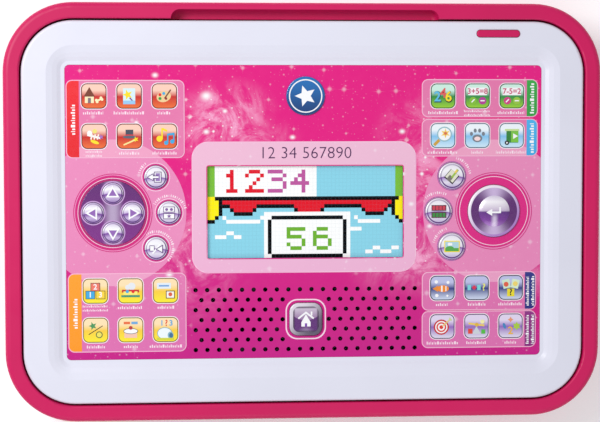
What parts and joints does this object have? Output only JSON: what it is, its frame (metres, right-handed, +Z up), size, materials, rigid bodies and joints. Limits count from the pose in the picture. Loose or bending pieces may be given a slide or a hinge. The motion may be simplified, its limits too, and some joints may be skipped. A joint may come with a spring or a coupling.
{
  "type": "toy learning tablet",
  "caption": "Child's learning tablet lying in a shallow tray; a stand panel lifts it into a screen behind a small keyboard.",
  "frame": {"origin": "centre of the footprint, at the undersides of the rubber feet", "axes": "+X to the right as the child sees it, +Y away from the child, +Z up out of the screen"},
  "size_m": [0.32, 0.223, 0.0447],
  "materials": {
    "tray_pink": "satin moulded ABS",
    "bezel_white": "satin moulded ABS",
    "rear_white": "fine texture ABS",
    "overlay_print": "printed polycarbonate film",
    "membrane_film": "printed polyester",
    "lens_clear": "clear acrylic window",
    "lcd_glass": "colour display cell",
    "backlight_white": "diffuser sheet",
    "key_silver": "pearl paint under clear gel",
    "key_purple": "moulded, polished",
    "badge_blue": "moulded, polished",
    "keyboard_lilac": "satin",
    "key_silicone": "matte silicone",
    "dome_silicone": "translucent silicone",
    "board_green": "solder mask over fibreglass",
    "ribbon_film": "polyimide film",
    "cable_grey": "flat cable",
    "pin_steel": "turned",
    "screw_steel": "zinc plated",
    "contact_nickel": "nickel plated spring steel",
    "cell_jacket": "shrink jacket over steel can",
    "foot_rubber": "matte",
    "nylon_natural": "acetal",
    "speaker_steel": "black zinc",
    "speaker_paper": "pressed paper",
    "stand_pink": "satin moulded ABS"
  },
  "bodies": {
    "base": {"base_upper_case": "tray_pink", "base_lower_case": "tray_pink", "base_screws": "screw_steel", "battery_door": "tray_pink", "battery_door_screw": "screw_steel", "battery_springs": "contact_nickel", "battery_contacts": "contact_nickel", "keyboard_plate": "keyboard_lilac", "keyboard_keys": "key_silicone", "keyboard_board": "board_green", "base_ribbon_cable": "cable_grey", "left_glide_rail": "nylon_natural", "right_glide_rail": "nylon_natural", "front_left_foot": "foot_rubber", "front_right_foot": "foot_rubber", "rear_left_foot": "foot_rubber", "rear_right_foot": "foot_rubber", "battery_cell_1": "cell_jacket", "battery_cell_2": "cell_jacket", "battery_cell_3": "cell_jacket", "battery_cell_4": "cell_jacket"},
    "stand": {"stand_panel": "stand_pink", "left_base_hinge_pin": "pin_steel", "right_base_hinge_pin": "pin_steel", "left_tablet_hinge_pin": "pin_steel", "right_tablet_hinge_pin": "pin_steel"},
    "tablet": {"tablet_front_case": "bezel_white", "tablet_rear_case": "rear_white", "tablet_screws": "screw_steel", "touch_overlay": "overlay_print", "touch_membrane": "membrane_film", "screen_lens": "lens_clear", "lcd_module": "lcd_glass", "lcd_backlight": "backlight_white", "lcd_ribbon": "ribbon_film", "badge": "badge_blue", "main_board": "board_green", "power_switch": "board_green", "speaker_frame": "speaker_steel", "speaker_cone": "speaker_paper", "left_key_mat": "dome_silicone", "right_key_mat": "dome_silicone", "home_key_mat": "dome_silicone", "arrow_pad": "key_purple", "left_glide_shoe": "nylon_natural", "right_glide_shoe": "nylon_natural"},
    "up_key": {"up_key": "key_silver"},
    "down_key": {"down_key": "key_silver"},
    "left_key": {"left_key": "key_silver"},
    "right_key": {"right_key": "key_silver"},
    "exit_key": {"exit_key": "key_silver"},
    "players_key": {"players_key": "key_silver"},
    "sound_key": {"sound_key": "key_silver"},
    "notepad_key": {"notepad_key": "key_silver"},
    "word_key": {"word_key": "key_silver"},
    "picture_key": {"picture_key": "key_silver"},
    "enter_key": {"enter_key": "key_silver"},
    "home_key": {"home_key": "key_silver"},
    "power_key": {"power_key": "tray_pink"}
  },
  "joints": [
    {"name": "stand_swing", "type": "hinge", "parent": "base", "child": "stand", "pos_m": [0, 0.0983, 0.028], "axis": [-1, 0, 0], "range_deg": [0, 65]},
    {"name": "tablet_tilt", "type": "hinge", "parent": "stand", "child": "tablet", "pos_m": [0, 0.0012, 0.028], "axis": [1, 0, 0], "range_deg": [0, 130]},
    {"name": "up_key_press", "type": "slide", "parent": "tablet", "child": "up_key", "axis": [0, 0, -1], "range_m": [0, 0.001], "stiffness_N_per_m": 400, "springref_m": -0.0015, "deforming": ["left_key_mat"]},
    {"name": "down_key_press", "type": "slide", "parent": "tablet", "child": "down_key", "axis": [0, 0, -1], "range_m": [0, 0.001], "stiffness_N_per_m": 400, "springref_m": -0.0015},
    {"name": "left_key_press", "type": "slide", "parent": "tablet", "child": "left_key", "axis": [0, 0, -1], "range_m": [0, 0.001], "stiffness_N_per_m": 400, "springref_m": -0.0015},
    {"name": "right_key_press", "type": "slide", "parent": "tablet", "child": "right_key", "axis": [0, 0, -1], "range_m": [0, 0.001], "stiffness_N_per_m": 400, "springref_m": -0.0015},
    {"name": "exit_key_press", "type": "slide", "parent": "tablet", "child": "exit_key", "axis": [0, 0, -1], "range_m": [0, 0.001], "stiffness_N_per_m": 400, "springref_m": -0.0015},
    {"name": "players_key_press", "type": "slide", "parent": "tablet", "child": "players_key", "axis": [0, 0, -1], "range_m": [0, 0.001], "stiffness_N_per_m": 400, "springref_m": -0.0015},
    {"name": "sound_key_press", "type": "slide", "parent": "tablet", "child": "sound_key", "axis": [0, 0, -1], "range_m": [0, 0.001], "stiffness_N_per_m": 400, "springref_m": -0.0015},
    {"name": "notepad_key_press", "type": "slide", "parent": "tablet", "child": "notepad_key", "axis": [0, 0, -1], "range_m": [0, 0.001], "stiffness_N_per_m": 400, "springref_m": -0.0015},
    {"name": "word_key_press", "type": "slide", "parent": "tablet", "child": "word_key", "axis": [0, 0, -1], "range_m": [0, 0.001], "stiffness_N_per_m": 400, "springref_m": -0.0015},
    {"name": "picture_key_press", "type": "slide", "parent": "tablet", "child": "picture_key", "axis": [0, 0, -1], "range_m": [0, 0.001], "stiffness_N_per_m": 400, "springref_m": -0.0015},
    {"name": "enter_key_press", "type": "slide", "parent": "tablet", "child": "enter_key", "axis": [0, 0, -1], "range_m": [0, 0.001], "stiffness_N_per_m": 400, "springref_m": -0.0015, "deforming": ["right_key_mat"]},
    {"name": "home_key_press", "type": "slide", "parent": "tablet", "child": "home_key", "axis": [0, 0, -1], "range_m": [0, 0.001], "stiffness_N_per_m": 400, "springref_m": -0.0015, "deforming": ["home_key_mat"]},
    {"name": "power_key_press", "type": "slide", "parent": "tablet", "child": "power_key", "axis": [0, 0, -1], "range_m": [0, 0.0007], "stiffness_N_per_m": 400, "springref_m": -0.0015}
  ],
  "couplings": [
    {"joint": "tablet_tilt", "follows": "stand_swing", "ratio": 2}
  ]
}
